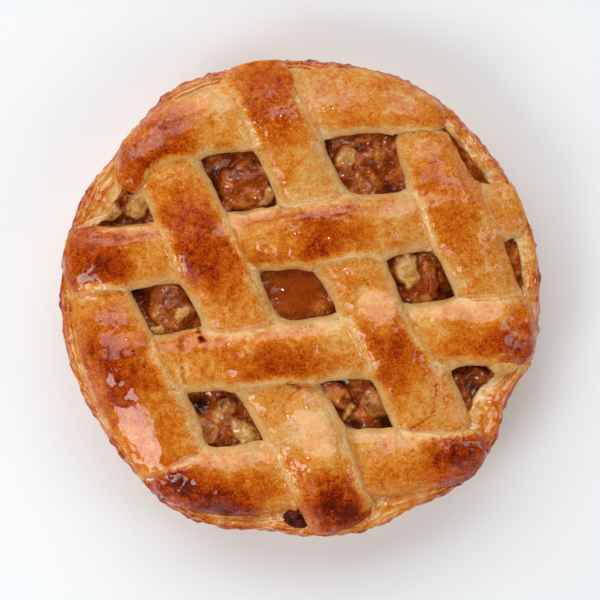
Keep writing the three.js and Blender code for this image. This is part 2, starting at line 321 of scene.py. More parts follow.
def strip_surface(name, along, around):
    """Places on a strip's surface and their levels in the weave, by share along it and angle round it."""
    line = strip_lines[name]
    length = line[-1, 0]
    from_middle = 0.5 * length * along
    past_end = np.maximum(0.0, 1.0 - (0.5 * length - np.abs(from_middle)) / END_ROUNDING)
    taper = np.sqrt(np.maximum(0.0, 1.0 - past_end**END_POWER))
    distance = 0.5 * length + from_middle
    middle_x, middle_y, half = (np.interp(distance, line[:, 0], line[:, k]) for k in (1, 2, 3))
    side_x = -np.interp(distance, line[:, 0], np.gradient(line[:, 2], line[:, 0]))
    side_y = np.interp(distance, line[:, 0], np.gradient(line[:, 1], line[:, 0]))
    run = np.hypot(side_x, side_y)
    across = half * taper * rounded(np.cos(around), DOME_POWER_ACROSS)
    x = middle_x + side_x / run * across
    y = middle_y + side_y / run * across
    thickness = thickness_at(x, y)
    share = np.where(np.sin(around) > 0.0, DOME_SHARE, 1.0 - DOME_SHARE)
    up = thickness * (share * taper * rounded(np.sin(around), DOME_POWER_UP) + 0.5 - DOME_SHARE)
    r = np.hypot(x, y)
    overhang = np.maximum(0.0, r - RIM_RADIUS - rim_wave(x, y))
    pull = 1.0 - overhang * (1.0 - OVERHANG_SPREAD) / r
    level = weave_level(name, distance)
    bed = bed_height(x * pull, y * pull) - overhang * OVERHANG_DROP
    return np.column_stack([x * pull, y * pull, bed + level * WEAVE_RISE + up]), level


SKIRT_SLOPE = 1.5
POINTS_AT_ONCE = 20000


def strip_top(name, x, y):
    """The height of a strip's upper side over x, y, carried on outside it as a steep skirt."""
    line = strip_lines[name][::2]
    near = np.empty(len(x), int)
    gap = np.empty(len(x))
    for start in range(0, len(x), POINTS_AT_ONCE):
        part = slice(start, start + POINTS_AT_ONCE)
        gaps = (x[part, None] - line[:, 1]) ** 2 + (y[part, None] - line[:, 2]) ** 2
        near[part] = gaps.argmin(axis=1)
        gap[part] = np.sqrt(gaps.min(axis=1))
    share = gap / line[near, 3]
    thickness = thickness_at(x, y)
    dome = DOME_SHARE * (1.0 - np.minimum(share, 1.0) ** DOME_POWER_ACROSS) ** (1.0 / DOME_POWER_UP)
    skirt = np.maximum(0.0, gap - line[near, 3]) * SKIRT_SLOPE
    middle = bed_height(x, y) + weave_level(name, line[near, 0]) * WEAVE_RISE
    return middle + thickness * (dome + 0.5 - DOME_SHARE) - skirt


EDGE_LIFT = 0.2
EDGE_FALL = 0.9


def beside(line, x, y):
    """Which row of a strip's middle line is nearest to x, y, and how far past the strip's side they lie."""
    gaps = np.hypot(x[:, None] - line[:, 1], y[:, None] - line[:, 2])
    near = gaps.argmin(axis=1)
    return near, gaps.min(axis=1) - line[near, 3]


def strip_edge(name, x, y):
    """The level of a strip's lower edge over x, y, falling away outside it."""
    line = strip_lines[name][::4]
    near, past_side = beside(line, x, y)
    middle = bed_height(x, y) + weave_level(name, line[near, 0]) * WEAVE_RISE
    fall = EDGE_FALL * np.maximum(0.0, past_side)
    return middle + thickness_at(x, y) * (0.5 - DOME_SHARE) + EDGE_LIFT - fall


# How near in height two strips' tops must be to have grown into each other, in millimetres, and the two
# strips that did so most
GROWN_TOGETHER = 8.0
MERGED = {frozenset(("strip_across_1", "strip_slant_3")): 15.0}
NEIGHBOUR_MARGIN = 8.0
# How far a strip's side spreads where it crosses another, how near their edges, and how unevenly
WEB_WIDTH = 2.0
WEB_REACH = 7.0
WEB_GRAIN = ((0.8, 15.0, 75),)


def grown_together(name, x, y, z, others):
    """How much a strip's dough at x, y, z was drawn up where it touches the others."""
    most = np.zeros_like(z)
    for other in others:
        line = strip_lines[other]
        reach = line[:, 3].max() + NEIGHBOUR_MARGIN
        close = (x > line[:, 1].min() - reach) & (x < line[:, 1].max() + reach)
        close &= (y > line[:, 2].min() - reach) & (y < line[:, 2].max() + reach)
        if not close.any():
            continue
        apart = np.abs(z[close] - strip_top(other, x[close], y[close]))
        nearness = MERGED.get(frozenset((name, other)), GROWN_TOGETHER)
        lift = nearness / 4.0 * np.maximum(0.0, 1.0 - apart / nearness) ** 2
        most[close] = np.maximum(most[close], lift)
    return most


def web_at_corners(x, y, others):
    """How far a strip's side spread out near the edges of the strips that it crosses."""
    most = np.zeros_like(x)
    for other in others:
        past_side = beside(strip_lines[other][::4], x, y)[1]
        most = np.maximum(most, WEB_WIDTH * np.maximum(0.0, 1.0 - np.abs(past_side) / WEB_REACH) ** 2)
    return most * np.clip(layered(np.column_stack([x, y, x]), WEB_GRAIN, start=0.6), 0.0, 1.2)


def away_from_line(x, y, places):
    """The distance of x, y from a line through those places."""
    least = np.full_like(x, np.inf)
    for (x0, y0), (x1, y1) in zip(places, places[1:]):
        run_x, run_y = x1 - x0, y1 - y0
        share = np.clip(((x - x0) * run_x + (y - y0) * run_y) / (run_x**2 + run_y**2), 0.0, 1.0)
        least = np.minimum(least, np.hypot(x - x0 - share * run_x, y - y0 - share * run_y))
    return least


def read_vectors(mesh, what):
    """One row a vertex: its place, which is called co, or its normal."""
    flat = np.empty(len(mesh.vertices) * 3)
    mesh.vertices.foreach_get(what, flat)
    return flat.reshape(-1, 3)


def write_points(mesh, points):
    """Moves the vertices to those places."""
    mesh.vertices.foreach_set("co", np.ascontiguousarray(points).ravel())
    mesh.update()


def keep_values(mesh, name, values):
    """Stores one number a vertex, for the material to read."""
    mesh.attributes.new(name, "FLOAT", "POINT").data.foreach_set("value", values.astype(np.float32))


def new_piece(name, build):
    """A bmesh made by build, as a smooth-shaded mesh object at the origin."""
    made = bmesh.new()
    build(made)
    mesh = bpy.data.meshes.new(name)
    made.to_mesh(mesh)
    made.free()
    mesh.polygons.foreach_set("use_smooth", [True] * len(mesh.polygons))
    piece = bpy.data.objects.new(name, mesh)
    bpy.context.collection.objects.link(piece)
    return piece


def round_ball(made, around_steps, along_steps):
    """A unit ball of quads: one grid wrapped round, closed along its seam and gathered at the poles."""
    bmesh.ops.create_grid(made, x_segments=around_steps, y_segments=along_steps, size=1.0)
    for vert in made.verts:
        turn = math.pi * vert.co.x
        tilt = math.pi / 2.0 * vert.co.y
        vert.co = (math.cos(tilt) * math.cos(turn), math.cos(tilt) * math.sin(turn), math.sin(tilt))
    rim = [vert for vert in made.verts if vert.is_boundary]
    bmesh.ops.remove_doubles(made, verts=rim, dist=1e-6)
    bmesh.ops.recalc_face_normals(made, faces=made.faces)


def texture_at(place, kind, output, values):
    """A texture on those places, with its inputs set to the values."""
    texture = place.id_data.nodes.new(kind)
    set_inputs(texture, values)
    place.id_data.links.new(place, texture.inputs["Vector"])
    return texture.outputs[output]


def clouds(place, scale, detail, roughness=0.5, distortion=0.0):
    """Soft noise."""
    values = {"Scale": scale, "Detail": detail, "Roughness": roughness, "Distortion": distortion}
    return texture_at(place, "ShaderNodeTexNoise", "Fac", values)


def cells(place, scale):
    """How far each place is from the middle of its cell, where cells lie scattered."""
    return texture_at(place, "ShaderNodeTexVoronoi", "Distance", {"Scale": scale})


def work(operation, *values):
    """One step of arithmetic on numbers and on what other nodes put out."""
    tree = next(value.id_data for value in values if not isinstance(value, float))
    node = tree.nodes.new("ShaderNodeMath")
    node.operation = operation
    for socket, value in zip(node.inputs, values):
        if isinstance(value, float):
            socket.default_value = value
        else:
            tree.links.new(value, socket)
    return node.outputs[0]


def held(value, least=0.0, most=1.0):
    """A value kept between two limits."""
    return work("MINIMUM", work("MAXIMUM", value, least), most)


def ramp(value, colours):
    """The colour at a value, between stops that are each a position and a colour."""
    node = value.id_data.nodes.new("ShaderNodeValToRGB")
    stops = node.color_ramp.elements
    for stop, (position, colour) in ((stops[0], colours[0]), (stops[1], colours[-1])):
        stop.position = position
        stop.color = tint(*colour)
    for position, colour in colours[1:-1]:
        stops.new(position).color = tint(*colour)
    value.id_data.links.new(value, node.inputs["Fac"])
    return node.outputs["Color"]


def stored(tree, name):
    """The value that a mesh keeps at each vertex under that name."""
    node = tree.nodes.new("ShaderNodeAttribute")
    node.attribute_name = name
    return node.outputs["Fac"]


def add_relief(shader, height, depth):
    """Fine relief on the shader's surface, from a height and how many metres deep it is."""
    tree = height.id_data
    bump = tree.nodes.new("ShaderNodeBump")
    set_inputs(bump, {"Strength": 1.0, "Distance": depth})
    tree.links.new(height, bump.inputs["Height"])
    tree.links.new(bump.outputs["Normal"], shader.inputs["Normal"])


def add_film(shader, roughness, ior, glow):
    """A clear film over matt food, into which red, green and blue light go that many metres."""
    set_inputs(shader, {"Coat Roughness": roughness, "Coat IOR": ior, "Specular IOR Level": 0.05})
    set_inputs(shader, {"Subsurface Weight": 0.1, "Subsurface Radius": glow})


# From shaded dough to scorched crust: how brown, and the colour
DOUGH_COLOURS = (
    (0.0, (234, 196, 138)),
    (0.15, (227, 180, 112)),
    (0.3, (223, 153, 67)),
    (0.45, (216, 122, 27)),
    (0.6, (198, 92, 6)),
    (0.74, (174, 62, 0)),
    (0.87, (138, 38, 0)),
    (1.0, (92, 20, 0)),
)


def dough_group():
    """Baked dough: pale where it was shaded, then golden, brown and dark, and mottled all over."""
    group = bpy.data.node_groups.new("baked dough", "ShaderNodeTree")
    for name in ("Browning", "Gloss"):
        group.interface.new_socket(name, in_out="INPUT", socket_type="NodeSocketFloat")
    group.interface.new_socket("Colour", in_out="OUTPUT", socket_type="NodeSocketColor")
    for name in ("Roughness", "Glaze", "Relief"):
        group.interface.new_socket(name, in_out="OUTPUT", socket_type="NodeSocketFloat")
    inlet = group.nodes.new("NodeGroupInput")
    outlet = group.nodes.new("NodeGroupOutput")
    browning = inlet.outputs["Browning"]
    gloss = inlet.outputs["Gloss"]
    place = group.nodes.new("ShaderNodeTexCoord").outputs["Object"]
    patches = clouds(place, 85.0, 4.0, 0.6, 0.6)
    blotches = clouds(place, 210.0, 5.0, 0.68, 0.9)
    mottles = clouds(place, 380.0, 5.0, 0.66, 0.5)
    specks = clouds(place, 1150.0, 3.0, 0.6, 0.3)
    freckles = clouds(place, 600.0, 2.0, 0.5, 0.8)
    uneven = work("MULTIPLY", work("SUBTRACT", patches, 0.5), 0.85)
    uneven = work("MULTIPLY_ADD", work("SUBTRACT", blotches, 0.5), 0.7, uneven)
    uneven = work("MULTIPLY_ADD", work("SUBTRACT", mottles, 0.5), 0.8, uneven)
    toasted = held(work("MULTIPLY", work("SUBTRACT", freckles, 0.57), 7.0))
    uneven = work("MULTIPLY_ADD", toasted, 0.2, uneven)
    # Small scorched dots lie in the browner blotches.
    dot = held(work("MULTIPLY_ADD", cells(place, 330.0), -7.0, 1.75))
    blotched = held(work("MULTIPLY_ADD", blotches, 6.0, -2.9))
    uneven = work("MULTIPLY_ADD", work("MULTIPLY", dot, blotched), 0.35, uneven)
    # Bare pale dough is even, and the browner it is the more it mottles.
    strength = held(work("MULTIPLY_ADD", browning, 1.4, 0.2), 0.2, 0.72)
    browned = work("MULTIPLY_ADD", uneven, strength, browning)
    fine = work("MULTIPLY_ADD", browning, 0.5, 0.34)
    browned = work("MULTIPLY_ADD", work("SUBTRACT", specks, 0.5), fine, browned)
    pits = work("MINIMUM", work("MULTIPLY", cells(place, 620.0), 2.2), 0.6)
    relief = work("MULTIPLY_ADD", mottles, 0.8, work("MULTIPLY", specks, 0.7))
    relief = work("MULTIPLY_ADD", pits, 0.25, relief)
    # Where the glaze is thickest it stands in small drops, and puddles of it lie smooth over the grain.
    bead = work("MAXIMUM", work("SUBTRACT", 0.42, cells(place, 480.0)), 0.0)
    wet = held(work("MULTIPLY_ADD", gloss, 3.0, -1.2))
    puddle = held(work("SUBTRACT", gloss, 0.9))
    relief = work("MULTIPLY_ADD", work("MULTIPLY", bead, wet), 1.6, relief)
    relief = work("MULTIPLY", relief, work("MULTIPLY_ADD", puddle, -0.85, 1.0))
    sheets = clouds(place, 120.0, 3.0)
    glaze = held(work("MULTIPLY_ADD", work("SUBTRACT", sheets, 0.4), 4.5, gloss), 0.12, 1.0)
    dull = work("MULTIPLY_ADD", mottles, 0.4, 0.3)
    group.links.new(ramp(browned, DOUGH_COLOURS), outlet.inputs["Colour"])
    group.links.new(work("MULTIPLY_ADD", glaze, -0.15, dull), outlet.inputs["Roughness"])
    group.links.new(glaze, outlet.inputs["Glaze"])
    group.links.new(relief, outlet.inputs["Relief"])
    return group


baked_dough = dough_group()


def pastry_material(name, relief_depth, coat_roughness, coat_ior):
    """Dough that browned by the stored values, under a film of egg and sugar glaze."""
    material, shader = new_material(name)
    tree = material.node_tree
    baked = tree.nodes.new("ShaderNodeGroup")
    baked.node_tree = baked_dough
    tree.links.new(stored(tree, "browning"), baked.inputs["Browning"])
    tree.links.new(stored(tree, "gloss"), baked.inputs["Gloss"])
    tree.links.new(baked.outputs["Colour"], shader.inputs["Base Color"])
    tree.links.new(baked.outputs["Roughness"], shader.inputs["Roughness"])
    tree.links.new(baked.outputs["Glaze"], shader.inputs["Coat Weight"])
    add_relief(shader, baked.outputs["Relief"], relief_depth)
    add_film(shader, coat_roughness, coat_ior, (0.003, 0.0016, 0.0008))
    return material


lattice_pastry = pastry_material("glazed lattice pastry", 0.001, 0.06, 1.5)

ROWS_A_MILLIMETRE = 1.7
SECTION_POINTS = 110
TOP_POINT_SHARE = 0.74
# Where single strips browned most and where they are painted paler: x, y, reach and how much, in
# millimetres from the pie's centre
# The paler patches, those below 0, mostly lie under the glaze's highlights, and there the paler dough is
# painted highlight.
BROWNING_AND_HIGHLIGHT_PATCHES = {
    "strip_across_1": [
        (-66, 62, 17, 0.34), (-47, 79, 12, 0.18), (-72, 50, 9, 0.12), (-38, 76, 12, -0.06),
        (-30, 60, 9, 0.4), (-42, 86, 10, -0.16), (-77, 70, 7, -0.2),
    ],
    "strip_across_2": [
        (-92, 12, 18, 0.3), (10, 28, 18, 0.2), (-78, 20, 12, 0.08), (-12, 9, 9, 0.34), (6, 11, 9, 0.34),
    ],
    "strip_across_3": [
        (-12, -27, 22, 0.17), (-38, -28, 14, 0.08), (80, -22, 18, 0.2), (98, -22, 12, 0.25),
        (-22, -16, 9, -0.14), (-4, -14, 9, -0.14), (12, -12, 9, -0.12), (62, -4, 12, -0.12),
        (80, -3, 12, -0.14),
    ],
    "strip_across_4": [
        (-48, -89, 17, 0.27), (-28, -91, 17, 0.33), (-58, -80, 12, 0.18), (-30, -68, 11, -0.14),
        (72, -71, 18, 0.45), (40, -76, 12, 0.1), (-16, -72, 11, -0.1), (32, -60, 9, -0.12),
        (48, -61, 9, -0.12),
    ],
    "strip_slant_1": [
        (-84, 0, 14, 0.08), (-81, -28, 17, 0.32), (-80, -14, 8, 0.04), (-70, -52, 16, 0.15),
        (-58, -72, 12, 0.2),
    ],
    "strip_slant_2": [
        (-43, 19, 17, 0.33), (-50, 41, 13, 0.17), (16, -91, 15, 0.56), (14, -98, 10, 0.12),
        (2, -58, 18, -0.12),
    ],
    "strip_slant_3": [
        (-13, 86, 22, 0.2), (38, -22, 16, 0.25), (42, -36, 12, 0.06), (24, 10, 10, 0.13),
        (0, 56, 16, -0.12), (33, -3, 11, -0.2),
    ],
    "strip_slant_4": [(72, 28, 15, 0.06), (62, 52, 15, 0.12), (82, 12, 10, -0.06)],
}
# Cracks, creases and small holes in single strips: how wide and deep, how much darker the cut is painted,
# which is painted shade in it (a crack below 0 is paler torn dough), and the places that the line runs
# through
CREASES = {
    "strip_across_3": [
        (0.8, 1.0, -0.1, [(7.0, -18.4), (7.5, -22.8)]),
        (0.8, 2.0, 0.16, [(-52.2, -17.5), (-51.7, -28.1), (-50.4, -37.5)]),
        (1.2, 3.0, 0.8, [(-44.8, -13.5), (-43.0, -18.5)]),
        (0.9, 2.0, 0.4, [(-4.8, -36.9), (0.0, -38.9)]),
    ],
    "strip_across_4": [(0.9, 1.2, 0.15, [(57.0, -60.9), (65.8, -62.7), (74.5, -58.7)])],
    "strip_slant_2": [
        (0.7, 0.8, 0.1, [(-24.1, 12.3), (-19.3, 5.7), (-16.7, 0.4)]),
        (1.2, 2.5, 0.7, [(-45.4, -12.6), (-43.2, -17.0)]),
        (0.9, 2.0, 0.5, [(-4.8, -36.9), (0.0, -38.9)]),
    ],
    "strip_slant_3": [(0.6, 1.7, 0.22, [(49.1, -57.0), (57.9, -51.3), (60.1, -38.1)])],
}
# Where single strips puffed up or sank: x, y, reach and how far up
PUFFED = {
    "strip_across_1": [(-40, 87, 12, 1.1), (-59, 75, 12, 1.1), (-74, 61, 12, 1.1)],
    "strip_across_3": [(94, -3, 13, -1.0)],
    "strip_across_4": [(-26, -89, 13, 1.6), (-27, -66, 12, -2.0), (30, -80, 10, 1.2), (32, -63, 10, -1.2)],
    "strip_slant_1": [(-84, -8, 12, -0.8)],
    "strip_slant_2": [(15, -82, 17, 2.6), (-3, -38, 17, -2.4), (-56, 56, 12, 1.5)],
    "strip_slant_3": [(28, -4, 12, -0.5)],
}
# Where single strips were pressed flat: x, y, half the flat's length and width, and in degrees the way its
# length runs, how far it leans, and which way
FLATS = {
    "strip_across_1": [(-46, 84, 19, 6, 30, 15, 115)],
    "strip_across_2": [(-75, 29, 16, 4, 5, 20, 95), (-18, 35.5, 22, 4, 8, 20, 95)],
    "strip_across_3": [(72, -6, 22, 8, 2, 17, 95)],
    "strip_slant_1": [(-73, -61, 24, 17, -52, 20, 216)],
    "strip_slant_2": [(4, -59, 19, 14, -63, 14, 95)],
    "strip_slant_3": [(34, -4, 14, 12, -48, 15, 95)],
}
# Where the glaze lies in smooth puddles: x, y and reach
PUDDLES = {
    "strip_across_1": [
        (-67, 78, 8), (-51, 89, 8), (-36, 95, 8), (-59, 83, 8), (-45, 85, 10), (-74, 71, 7),
    ],
    "strip_across_2": [(-85, 28, 7), (-74, 30, 7), (-64, 31, 6), (-28, 36, 6), (-17, 37, 6), (-6, 38, 6)],
    "strip_across_3": [
        (55, -8, 8), (67, -6, 9), (80, -5, 9), (92, -5, 8), (-44, -20, 8), (-35, -20, 7), (-25, -19, 8),
        (-14, -17, 8), (-3, -16, 8), (9, -14, 8), (20, -13, 7),
    ],
    "strip_across_4": [
        (-55, -85, 6), (-48, -88, 4), (-40, -68, 8), (-29, -67, 8), (-14, -68, 9), (27, -61, 7),
        (38, -61, 7), (50, -61, 7),
    ],
    "strip_slant_1": [(-78, -53, 12), (-72, -62, 12), (-64, -71, 11), (-80, -15, 9)],
    "strip_slant_2": [(-2, -48, 9), (4, -58, 11), (8, -68, 9)],
    "strip_slant_3": [(33, -3, 14)],
}
# Where it stands in drops, or the crust is dull: x, y, reach and how much more glaze
GLAZED = {
    "strip_across_1": [(10, 84, 8, 0.7), (-30, 70, 14, -2.0), (-54, 66, 9, -2.0), (-68, 54, 9, -2.0)],
    "strip_across_3": [(84, -20, 11, 0.6)],
    "strip_across_4": [(70, -68, 14, 0.6), (81, -66, 9, 0.6)],
    "strip_slant_2": [(-48, 36, 22, -2.0), (-40, 12, 14, -2.0), (20, -92, 13, -2.0), (4, -83, 8, -2.0)],
    "strip_slant_3": [(-16, 92, 20, -2.0), (42, -28, 10, 0.6)],
    "strip_slant_4": [(80, 3, 9, 0.6)],
}
# Layers of grain, each its height, size and seed: what the surface and the edges of its patches are like
LUMPS = ((0.75, 18.0, 0), (0.42, 7.5, 20))
CRUMBS = ((0.14, 2.8, 40), (0.06, 1.2, 50))
JAGGED_X = ((0.9, 3.0, 77), (0.6, 1.5, 75))
JAGGED_Y = ((0.9, 3.0, 78), (0.6, 1.5, 76))
RAGGED_CREST = ((0.1, 9.0, 90), (0.05, 3.0, 95))
STRAY = 4.5
STRAY_SIZE = 12.0
END_CROWDING = 1.15
# What share of the way the dough gave where it was pressed flat, and how many millimetres the flat sank
FLAT_GIVE = 0.84
FLAT_SINK = 0.3
# How brown the dough is in the shade, and how much browner on its crest and on top of a crossing
SHADED_BROWNING = 0.14
CREST_BROWNING = 0.24
CROSSING_BROWNING = 0.07
JOINED_PALER = 0.03
# How wide the crest browned, as a share of half the strip's width, and how softly that ends, with the way
# that a side faces where the end is softest
CREST_WIDTH = 0.95
CREST_EDGE = 0.32
SHADED_X = 0.45
SHADED_Y = -0.9
# How squarely a browned patch fades, and how much of it shows beside the crest
BROWNED_POWER = 2.5
BROWNED_ASIDE = 0.25
LEAST_GLOSS = 0.1
JOINED_GLOSS = 1.2
PUDDLE_GLOSS = 2.0
PUDDLE_EDGE = 1.8
CRACK_GRAIN = ((0.9, 2.0, 79),)

for number, name in enumerate(STRIP_PLACES):
    rows = int(strip_lines[name][-1, 0] * ROWS_A_MILLIMETRE)
    strip = new_piece(f"baked_{name}", lambda made: round_ball(made, SECTION_POINTS, rows))
    ball = read_vectors(strip.data, "co")
    along = 1.0 - 2.0 * np.arccos(np.clip(ball[:, 2], -1.0, 1.0)) / math.pi
    along = np.sign(along) * (1.0 - (1.0 - np.abs(along)) ** END_CROWDING)
    turn = np.arctan2(ball[:, 1], ball[:, 0]) / (2.0 * math.pi) % 1.0
    over = turn < TOP_POINT_SHARE
    under_turn = 1.0 + (turn - TOP_POINT_SHARE) / (1.0 - TOP_POINT_SHARE)
    around = np.where(over, turn / TOP_POINT_SHARE, under_turn) * math.pi
    points, level = strip_surface(name, along, around)
    write_points(strip.data, points)
    normals = read_vectors(strip.data, "normal")
    facing_up = smooth(normals[:, 2] / 0.4)
    # The strip puffed up in lumps, grew into the strips that it touches and spread out beside them.
    others = [other for other in STRIP_PLACES if other.split("_")[1] != name.split("_")[1]]
    joined = grown_together(name, *points.T, others)
    points[:, :2] += normals[:, :2] * web_at_corners(points[:, 0], points[:, 1], others)[:, None]
    lumps = layered(points, LUMPS, number)
    crumbs = layered(points, CRUMBS, number)
    crumbs *= 1.0 + 1.5 * smooth(joined / 1.5)
    points = points + normals * (lumps + crumbs)[:, None]
    points[:, 2] += joined * facing_up
    x, y = points[:, 0], points[:, 1]
    for *place, rise in PUFFED.get(name, []):
        points[:, 2] += rise * patch(x, y, *place) * facing_up
    # Patches of colour and glaze stray from a round outline, and flats and cracks have jagged ones.
    stray_x = x + STRAY * grain(points, STRAY_SIZE, number + 70)
    stray_y = y + STRAY * grain(points, STRAY_SIZE, number + 80)
    jagged_x = layered(points, JAGGED_X, start=x)
    jagged_y = layered(points, JAGGED_Y, start=y)
    for flat_x, flat_y, half_length, half_width, *angles in FLATS.get(name, []):
        run, lean, way = map(math.radians, angles)
        middle = over & (normals[:, 2] > 0.5) & (np.hypot(x - flat_x, y - flat_y) < 1.5)
        downhill = (x - flat_x) * math.cos(way) + (y - flat_y) * math.sin(way)
        plane = points[middle, 2].mean() - FLAT_SINK - math.tan(lean) * downhill
        from_x = 0.5 * (stray_x + 2.0 * jagged_x - x) - flat_x
        from_y = 0.5 * (stray_y + 2.0 * jagged_y - y) - flat_y
        u, v = turned(from_x, from_y, run)
        flat = smooth(2.2 - 2.2 * np.hypot(u / half_length, v / half_width))
        flat *= smooth((normals[:, 2] - 0.3) / 0.3)
        points[:, 2] += flat * FLAT_GIVE * (plane - points[:, 2])
    # The crest browned. The sides that face near and right stayed pale over more of their width.
    aside = np.abs(rounded(np.cos(around), DOME_POWER_ACROSS))
    ragged = layered(points, RAGGED_CREST, number)
    shaded = np.clip(SHADED_X * normals[:, 0] + SHADED_Y * normals[:, 1], 0.0, 1.0)
    crest = smooth((CREST_WIDTH + ragged - aside) / (CREST_EDGE + 0.1 * shaded)) * over
    # The sides that face outwards over the rim browned too, and only those in the openings stayed pale.
    r = np.hypot(x, y)
    outer = smooth((normals[:, 0] * x + normals[:, 1] * y) / r / 0.5) * smooth((r - 80.0) / 12.0)
    crest = np.maximum(crest, CREST_WIDTH * outer)
    browning = SHADED_BROWNING + crest * (CREST_BROWNING + CROSSING_BROWNING * level)
    browning -= JOINED_PALER * smooth(joined / 1.2)
    browning += 0.1 * crest * grain(points, 22.0, number + 60)
    shows = BROWNED_ASIDE + (1.0 - BROWNED_ASIDE) * crest
    # Browned patches darken the dough, and the paler ones under the glaze's highlights add painted
    # highlight.
    for *place, more in BROWNING_AND_HIGHLIGHT_PATCHES[name]:
        browning += more * patch(stray_x, stray_y, *place, BROWNED_POWER) * shows
    gloss = LEAST_GLOSS + 0.1 * smooth(browning) + JOINED_GLOSS * smooth(joined / 0.8)
    puddles = [(*place, PUDDLE_GLOSS) for place in PUDDLES.get(name, [])]
    for glaze_x, glaze_y, reach, more in puddles + GLAZED.get(name, []):
        away = np.hypot(stray_x - glaze_x, stray_y - glaze_y) / reach
        gloss += more * smooth(PUDDLE_EDGE - PUDDLE_EDGE * away)
    for width, depth, darker, places in CREASES.get(name, []):
        cut = np.exp(-((away_from_line(jagged_x, jagged_y, places) / width) ** 2)) * over
        cut *= np.clip(layered(points, CRACK_GRAIN, start=0.55), 0.0, 1.2)
        points[:, 2] -= depth * cut
        # The cut is painted darker, as painted shade.
        browning += darker * cut
    write_points(strip.data, points * MM)
    keep_values(strip.data, "browning", browning)
    keep_values(strip.data, "gloss", gloss)
    strip.data.materials.append(lattice_pastry)
    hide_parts(name)
    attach(strip, "root")

# The case: shortcrust pressed by hand into a tin, 7 mm thick, with a rough flaky top edge that shows round
# the lattice. It was baked with the lattice and turned out of the tin.
BASE_RADIUS = 97.0
BASE_CORNER = 4.0
BASE_THICKNESS = 6.0
WALL_HEIGHT = 36.0
WALL_THICKNESS = 7.5
WALL_BELLY = 0.6
RIM_ROUNDING = 3.0
RIM_SLOPE = 1.5
RIM_UNDERCUT = 2.0
RIM_INNER_DEPTH = 5.0
# Where the wall is thicker on the inside: direction and spread in degrees, and how far in
WALL_SWELLS = [(-33, 12, 8), (-68, 14, 6), (-97, 9, 3), (153, 10, 5.5)]
SWELL_LIFT = 0.3
SWELL_START = 4.5
SWELL_HEIGHT = 18.0
CASE_TURN_STEPS = 720
# The heights and radii past which the rim is flaky and the wall lumpy, and how far the flakes stand up
RIM_FROM_HEIGHT = 24.0
RIM_FROM_RADIUS = 90.0
WALL_FROM_RADIUS = 88.0
RIM_CRAGS = 0.8
RIM_LAYERS = 0.45
SHEET_HEIGHT = 0.7
SHEETS_FROM_RADIUS = 98.0
CRAGS = ((0.9, 5.0, 83), (0.6, 2.2, 84))
WALL_LUMPS = ((0.45, 11.0, 85), (0.2, 3.0, 86))
MOST_RISE = 3.0
CASE_BROWNING = 0.36
EDGE_BROWNING = 0.2
EDGE_RADIUS = 102.0
# Where the rim is browner or paler: direction and spread in degrees, and how much. It is darkest where the
# two lowest strips end on it, and pale on the right.
RIM_BROWNED = [(-46.0, 8.0, 0.16), (-128.0, 6.0, 0.08), (-27.0, 9.0, -0.08)]

lip = WALL_HEIGHT - RIM_ROUNDING
inside = RIM_RADIUS - WALL_THICKNESS
floor_edge = BASE_RADIUS - WALL_THICKNESS
# The profile from the middle of the base, out and up the wall, over the rim and back along the floor:
# radius, height and how many steps lead there
CASE_PROFILE = [
    (0.0, 0.0, 0),
    (BASE_RADIUS - BASE_CORNER, 0.0, 6),
    (BASE_RADIUS - 0.3 * BASE_CORNER, 0.3 * BASE_CORNER, 2),
    (BASE_RADIUS, BASE_CORNER, 2),
    ((BASE_RADIUS + RIM_RADIUS) / 2 + WALL_BELLY, WALL_HEIGHT / 2, 18),
    (RIM_RADIUS, lip, 28),
    (RIM_RADIUS - 0.3 * RIM_ROUNDING, lip + 0.7 * RIM_ROUNDING, 6),
    (RIM_RADIUS - RIM_ROUNDING, WALL_HEIGHT, 6),
    (inside, WALL_HEIGHT - RIM_SLOPE, 16),
    (inside - RIM_UNDERCUT, lip - RIM_INNER_DEPTH, 10),
    (floor_edge, BASE_THICKNESS + BASE_CORNER, 6),
    (floor_edge - BASE_CORNER, BASE_THICKNESS, 2),
    (0.0, BASE_THICKNESS, 4),
]
profile_steps = np.cumsum([steps for radius, height, steps in CASE_PROFILE])
lip_step, rim_top_step = profile_steps[5], profile_steps[7]
case = new_piece("baked_case", lambda made: round_ball(made, CASE_TURN_STEPS, int(profile_steps[-1])))
ball = read_vectors(case.data, "co")
step = (np.arcsin(np.clip(ball[:, 2], -1.0, 1.0)) / math.pi + 0.5) * profile_steps[-1]
r = np.interp(step, profile_steps, [radius for radius, height, steps in CASE_PROFILE])
z = np.interp(step, profile_steps, [height for radius, height, steps in CASE_PROFILE])
x, y = ball[:, 0], ball[:, 1]
swell = bumps_at(WALL_SWELLS, x, y)
past_rim = np.clip((RIM_RADIUS - RIM_ROUNDING - r) / SWELL_START, 0.0, 1.0)
swollen = np.where(step > rim_top_step, past_rim, 0.0)
swollen *= np.clip((z - BASE_THICKNESS - BASE_CORNER) / SWELL_HEIGHT, 0.0, 1.0)
out = rim_wave(x, y) * (r / RIM_RADIUS) ** 5 - swell * swollen
bearing = np.arctan2(y, x)
z += SWELL_LIFT * swell * smooth((z - lip + 4.0) / 4.0)
points = np.column_stack([(r + out) * np.cos(bearing), (r + out) * np.sin(bearing), z])
write_points(case.data, points)
normals = read_vectors(case.data, "normal")
near_rim = smooth((z - RIM_FROM_HEIGHT) / 10.0) * (r > RIM_FROM_RADIUS)
on_wall = smooth(z / 3.0) * (r > WALL_FROM_RADIUS)
layers = np.sin(z * 3.1 + 2.2 * grain(points, 9.0, 81)) * (0.5 + 0.5 * grain(points, 14.0, 82))
crags = layered(points, CRAGS)
